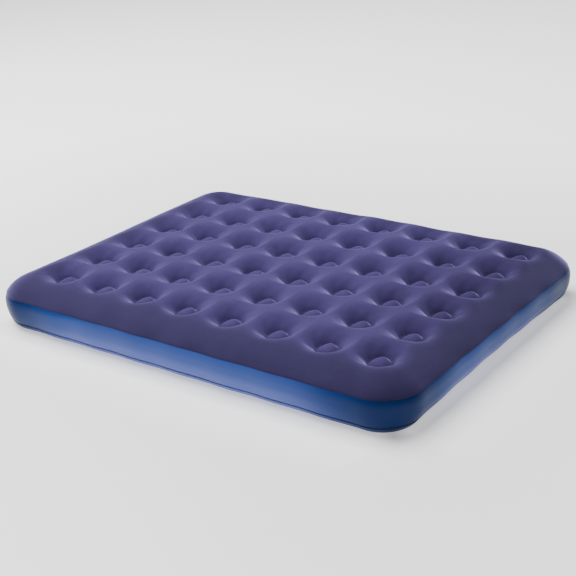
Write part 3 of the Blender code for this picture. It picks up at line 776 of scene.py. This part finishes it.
def build_valve_screw():
    def grip(r, z, a):
        if r <= 20.7 or not 4.6 <= z <= 6.75:
            return r
        return r - 0.7 * (0.5 - 0.5 * math.cos(36 * a)) ** 2
    profile = [
        (15.9, -9.2), (15.9, 4.6), (21.5, 4.6), (21.5, 6.2), (20.8, 6.8), (19.6, 6.8), (19.4, 6.5), (12.9, 6.5), (12.7, 6.8), (9.3, 6.8), (9.3, 8.5), (10.0, 9.0),
        (9.3, 9.6), (9.3, 13.4), (6.5, 13.4), (6.5, 4.6), (13.6, 4.6), (13.6, -5.4), (7.0, -5.4), (7.0, -6.6), (13.6, -6.6), (13.6, -9.2),
    ]
    base = lathe("valve_screw", fillet(profile, 0.28), VALVE_HARD, 216, grip)
    ridge = thread("male", 15.7, 17.15, 2.0, 1.2, -11.0 + LEAD / 2, 7 / 6, VALVE_HARD, math.pi)
    bars = [slab("bar", [(-7.3, -6.5), (7.3, -6.5), (7.3, -5.5), (-7.3, -5.5)], "Y", -0.7, 0.7, VALVE_HARD, 0.15),
            slab("bar", [(-7.3, -6.4), (7.3, -6.4), (7.3, -5.6), (-7.3, -5.6)], "X", -0.7, 0.7, VALVE_HARD, 0.15)]
    ears = [slab("ear", [(9.6, -10.0), (12.6, -10.0), (12.6, -6.1), (9.6, -6.1)], "Y", lo, hi, VALVE_HARD, 0.2) for lo, hi in ((3.6, 4.8), (-4.8, -3.6))]
    # raised turning bars on the head, for wet or cold fingers
    grips = []
    for k in range(6):
        g = slab("g", [(14.2, -0.9), (18.6, -0.7), (18.6, 0.7), (14.2, 0.9)], "Z", 6.3, 7.1, VALVE_HARD, 0.25)
        g.data.transform(Matrix.Rotation(math.radians(60 * k + 15), 4, "Z"))
        grips.append(g)
    drill = slab("drill", arc(11.1, -8.6, 0.9, 0, 342, 19), "Y", -6.0, 6.0, VALVE_HARD, 0)
    return on_wall(merged(merged(base, [ridge] + bars + ears + grips), [drill], "DIFFERENCE"))


def build_plug_cap():
    profile = [(0, 15.1), (7.6, 15.1), (8.2, 15.3), (10.6, 15.3), (11.0, 14.9), (11.0, 13.7), (6.15, 13.7), (6.1, 12.6), (6.3, 12.2), (5.9, 11.8), (5.5, 9.6), (4.5, 9.6), (4.9, 13.9), (0, 13.9)]
    cap = lathe("plug_cap", fillet(profile, 0.35), VALVE_SOFT, 120)
    lug = slab("lug", [(3.4, HINGE_Y + 0.15), (4.6, -9.0), (-4.6, -9.0), (-3.4, HINGE_Y + 0.15)], "Z", 13.75, 15.05, VALVE_SOFT)
    tab = slab("tab", [(4.8, 9.0)] + arc(0, 15.0, 4.2, 0, 180) + [(-4.8, 9.0)], "Z", 13.75, 14.9, VALVE_SOFT)
    ribs = [slab("rib", [(y, 14.4), (y + 0.9, 14.4), (y + 0.8, 15.3), (y + 0.1, 15.3)], "X", -3.0, 3.0, VALVE_SOFT, 0.15) for y in (12.4, 14.2, 16.0)]
    return on_wall(merged(cap, [lug, tab] + ribs))


def build_cap_ring():
    ring = lathe("cap_ring", fillet([(9.65, 7.1), (12.4, 7.1), (12.4, 8.2), (9.65, 8.2)], 0.3), VALVE_SOFT, 120)
    back, front = HINGE_Y - 1.35, HINGE_Y - 0.15
    side_view = [(-11.5, 7.1), (-11.5, 8.2), (front - 0.9, 8.25), (front - 0.25, 8.5), (front, 9.1), (front, HINGE_Z - 0.4), (back, HINGE_Z - 0.4), (back, 8.2), (back + 0.3, 7.45), (back + 1.0, 7.1)]
    return on_wall(merged(ring, [slab("arm", side_view, "X", -3.4, 3.4, VALVE_SOFT, 0.22)]))


def ribbon(name, path, half, thick, mat):
    """A strap along a path in the local Y-Z plane, thick along the path's normal and half wide each way in X."""
    n, across, rows = len(path), 11, []
    for k in range(n):
        p, q = path[max(k - 1, 0)], path[min(k + 1, n - 1)]
        d = math.hypot(q[0] - p[0], q[1] - p[1])
        ny, nz = -(q[1] - p[1]) / d, (q[0] - p[0]) / d
        h = half[k]
        face = [(h * u, 0.5 * thick * (1 - 0.35 * abs(u) ** 6)) for u in (2 * j / (across - 1) - 1 for j in range(across))]
        loop = face + [(x, -w) for x, w in reversed(face)]
        rows.append([(x * MM, (path[k][0] + ny * w) * MM, (path[k][1] + nz * w) * MM) for x, w in loop])
    m = len(rows[0])
    verts = [p for row in rows for p in row]
    faces = [(k * m + j, k * m + (j + 1) % m, (k + 1) * m + (j + 1) % m, (k + 1) * m + j) for k in range(n - 1) for j in range(m)]
    faces += [tuple(range(m)), tuple((n - 1) * m + j for j in reversed(range(m)))]
    return solid(new_object(name, verts, faces, mat))


def spline_path(points, n):
    """A smooth curve through the points."""
    p = [points[0]] + points + [points[-1]]
    out = []
    spans = len(points) - 1
    for k in range(n + 1):
        s = min(int(k / n * spans), spans - 1)
        t = k / n * spans - s
        a, b, c, d = p[s], p[s + 1], p[s + 2], p[s + 3]
        out.append(tuple(0.5 * (2 * b[i] + (c[i] - a[i]) * t + (2 * a[i] - 5 * b[i] + 4 * c[i] - d[i]) * t * t + (3 * b[i] - a[i] - 3 * c[i] + d[i]) * t ** 3) for i in (0, 1)))
    return out


def build_insert_strap():
    ring = lathe("insert_strap", fillet([(16.35, 2.65), (20.5, 2.65), (20.5, 4.15), (16.35, 4.15)], 0.4), VALVE_SOFT, 144)
    path = spline_path([(19.0, 3.4), (21.6, 3.4), (23.2, 4.7), (24.4, 4.3), (25.3, 2.7), (26.6, 2.25), (32.0, 2.2)], 60)
    width = [min(3.0 + 1.2 * math.sin(math.pi * min(max((y - 24.6) / 6.8, 0.0), 0.5)), math.sqrt(max(4.2 ** 2 - max(y - 28.0, 0.0) ** 2, 0.04))) for y, _ in path]
    strap = ribbon("strap", path, width, 1.35, VALVE_SOFT)
    eye = slab("eye", arc(0, 28.0, 2.0, 0, 345, 23), "Z", 0.5, 5.0, VALVE_SOFT, 0)
    o = merged(ring, [strap])
    return on_wall(merged(o, [eye], "DIFFERENCE"))


def build_hinge_web():
    path = spline_path([(HINGE_Y - 0.95, HINGE_Z - 1.4), (HINGE_Y - 0.75, HINGE_Z - 0.75), (HINGE_Y - 0.30, HINGE_Z - 0.30), (HINGE_Y + 0.35, HINGE_Z - 0.42), (HINGE_Y + 1.1, HINGE_Z - 0.62)], 20)
    return on_wall(ribbon("hinge_web", path, [3.1] * len(path), 0.45, VALVE_SOFT))


def build_check_flap():
    flap = lathe("flap_disc", fillet([(0, -7.8), (7.9, -7.8), (8.2, -7.65), (8.9, -7.65), (8.9, -6.95), (0, -6.95)], 0.2), SEAL, 96)
    link = slab("link", [(7.5, -7.78), (11.1, -7.78), (11.1, -6.99), (7.5, -6.99)], "Y", -3.0, 3.0, SEAL, 0.15)
    knuckle = slab("knuckle", arc(11.1, -8.6, 1.65, 0, 352.5, 47), "Y", -3.2, 3.2, SEAL, 0.15)
    bore = slab("bore", arc(11.1, -8.6, 0.95, 0, 345, 23), "Y", -4.0, 4.0, SEAL, 0)
    return on_wall(merged(merged(flap, [link, knuckle]), [bore], "DIFFERENCE"))


def build_flap_pin():
    return on_wall(slab("hinge_pin", arc(11.1, -8.6, 0.55, 0, 345, 23), "Y", -5.2, 5.2, PIN, 0.12))


def build_base_seal():
    return on_wall(lathe("seal_ring", [(16.2 + 0.8 * math.cos(math.radians(20 * k)), -10.4 + 0.8 * math.sin(math.radians(20 * k))) for k in range(18)], SEAL, 120))


for build, body, node in ((build_valve_base, ROOT, "valve_base"), (build_valve_screw, "insert", "valve_insert"), (build_plug_cap, "cap", "inflate_cap"), (build_cap_ring, "insert", "cap_tether"),
                          (build_check_flap, "flap", "check_flap"), (build_flap_pin, "insert", "flap_pin"), (build_base_seal, ROOT, "base_seal")):
    piece = build()
    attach(piece, body)
    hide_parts(node)

strap = build_insert_strap()
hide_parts("insert_tether")
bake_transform(strap)

web = build_hinge_web()
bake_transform(web)


for name, mat in [
    ("valve_base", VALVE_SOFT), ("base_seal", SEAL), ("valve_insert", VALVE_HARD), ("check_flap", SEAL),
    ("flap_pin", PIN), ("inflate_cap", VALVE_SOFT), ("insert_tether", VALVE_SOFT), ("cap_tether", VALVE_SOFT),
] + [(f"coil_beam_r{j}_c{i}", BEAM) for j in range(1, 7) for i in range(1, 9)]:
    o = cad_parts[name]
    for s in o.material_slots:
        s.material = mat
    if not o.material_slots:
        o.data.materials.append(mat)


# ---------------------------------------------------------------- camera, floor and light
def look_from(az, el, roll, target, dist, lens):
    az, el = math.radians(az), math.radians(el)
    back = Vector((math.sin(az) * math.cos(el), -math.cos(az) * math.cos(el), math.sin(el)))
    cam = bpy.data.cameras.new("camera")
    cam.lens, cam.sensor_width = lens, 36.0
    o = bpy.data.objects.new("camera", cam)
    bpy.context.scene.collection.objects.link(o)
    rot = back.to_track_quat("Z", "Y").to_matrix().to_4x4()
    o.matrix_world = Matrix.Translation(Vector(target) + back * dist) @ rot @ Matrix.Rotation(math.radians(roll), 4, "Z")
    bpy.context.scene.camera = o
    return o


look_from(37.1847, 22.7717, -3.4477, (0.0317, -0.0267, 0.11), 4.8452, 71.64)

GLOW, FAR_GLOW = 0.62, 0.70
floor = new_object("studio_floor", [(-40, -40, -0.0005), (40, -40, -0.0005), (40, 40, -0.0005), (-40, 40, -0.0005)], [(0, 1, 2, 3)])
fm, fnt, fb = node_material("floor_white")
fb.inputs["Base Color"].default_value = (0.94, 0.94, 0.945, 1)
fb.inputs["Roughness"].default_value = 0.9
fb.inputs["Emission Color"].default_value = (1.0, 1.0, 1.0, 1)
# the floor is lit from below close to the bed, as on a light table, which takes the contact shadow away
coord = add(fnt, "ShaderNodeTexCoord")
away = add(fnt, "ShaderNodeVectorMath", operation="ABSOLUTE")
fnt.links.new(coord.outputs["Object"], away.inputs[0])
over = add(fnt, "ShaderNodeVectorMath", operation="SUBTRACT")
fnt.links.new(away.outputs[0], over.inputs[0])
over.inputs[1].default_value = (LENGTH / 2 - 0.12, WIDTH / 2 - 0.12, 0.0)
clear = add(fnt, "ShaderNodeVectorMath", operation="MAXIMUM")
fnt.links.new(over.outputs[0], clear.inputs[0])
clear.inputs[1].default_value = (0.0, 0.0, 0.0)
size = add(fnt, "ShaderNodeVectorMath", operation="LENGTH")
fnt.links.new(clear.outputs[0], size.inputs[0])
glow = ramp(fnt, size.outputs["Value"], [(0.08, (GLOW, GLOW, GLOW)), (0.17, (GLOW * 0.40,) * 3), (0.45, (0.0, 0.0, 0.0))], "EASE")
parts = add(fnt, "ShaderNodeSeparateXYZ")
fnt.links.new(clear.outputs[0], parts.inputs[0])
both = add(fnt, "ShaderNodeMath", operation="MINIMUM")
fnt.links.new(parts.outputs["X"], both.inputs[0])
fnt.links.new(parts.outputs["Y"], both.inputs[1])
beside = ramp(fnt, both.outputs[0], [(0.0, (1.0, 1.0, 1.0)), (0.10, (0.0, 0.0, 0.0))])
# and again further off, where the lamps no longer reach it
far_off = add(fnt, "ShaderNodeMapRange")
far_off.inputs["From Min"].default_value = 0.45
far_off.inputs["From Max"].default_value = 2.2
far_off.inputs["To Max"].default_value = FAR_GLOW
fnt.links.new(size.outputs["Value"], far_off.inputs["Value"])
lit = add(fnt, "ShaderNodeMath", operation="MULTIPLY")
fnt.links.new(glow.outputs["Color"], lit.inputs[0])
fnt.links.new(beside.outputs["Color"], lit.inputs[1])
whole = add(fnt, "ShaderNodeMath", operation="ADD")
fnt.links.new(lit.outputs[0], whole.inputs[0])
fnt.links.new(far_off.outputs["Result"], whole.inputs[1])
fnt.links.new(whole.outputs[0], fb.inputs["Emission Strength"])
floor.data.materials.append(fm)


def area(name, size, power, place, aim, colour=(1, 1, 1)):
    l = bpy.data.lights.new(name, "AREA")
    l.shape, l.size, l.energy, l.color = "SQUARE", size, power, colour
    o = bpy.data.objects.new(name, l)
    bpy.context.scene.collection.objects.link(o)
    o.matrix_world = Matrix.Translation(place) @ (Vector(place) - Vector(aim)).to_track_quat("Z", "Y").to_matrix().to_4x4()
    return o


area("key", 4.0, 160, (-6.0, 0.4, 5.5), (0, 0, 0.1))
area("overhead", 8.0, 1900, (-3.0, 0.0, 8.6), (0, 0, 0.1))

# a soft sky that is bright overhead and dim at the horizon, as in a studio with an overhead bank of lights
world = bpy.data.worlds.new("studio")
world.use_nodes = True
wnt = world.node_tree
tc = wnt.nodes.new("ShaderNodeTexCoord")
sep = wnt.nodes.new("ShaderNodeSeparateXYZ")
wnt.links.new(tc.outputs["Generated"], sep.inputs[0])
sky = ramp(wnt, sep.outputs["Z"], [(0.0, (1.5, 1.5, 1.52)), (0.01, (1.5, 1.5, 1.52)), (0.05, (0.60, 0.60, 0.61)), (0.12, (0.34, 0.34, 0.35)), (0.25, (0.22, 0.22, 0.23)), (0.8, (0.95, 0.95, 1.0))])
wnt.links.new(sky.outputs["Color"], wnt.nodes["Background"].inputs["Color"])
wnt.nodes["Background"].inputs["Strength"].default_value = 0.52
bpy.context.scene.world = world
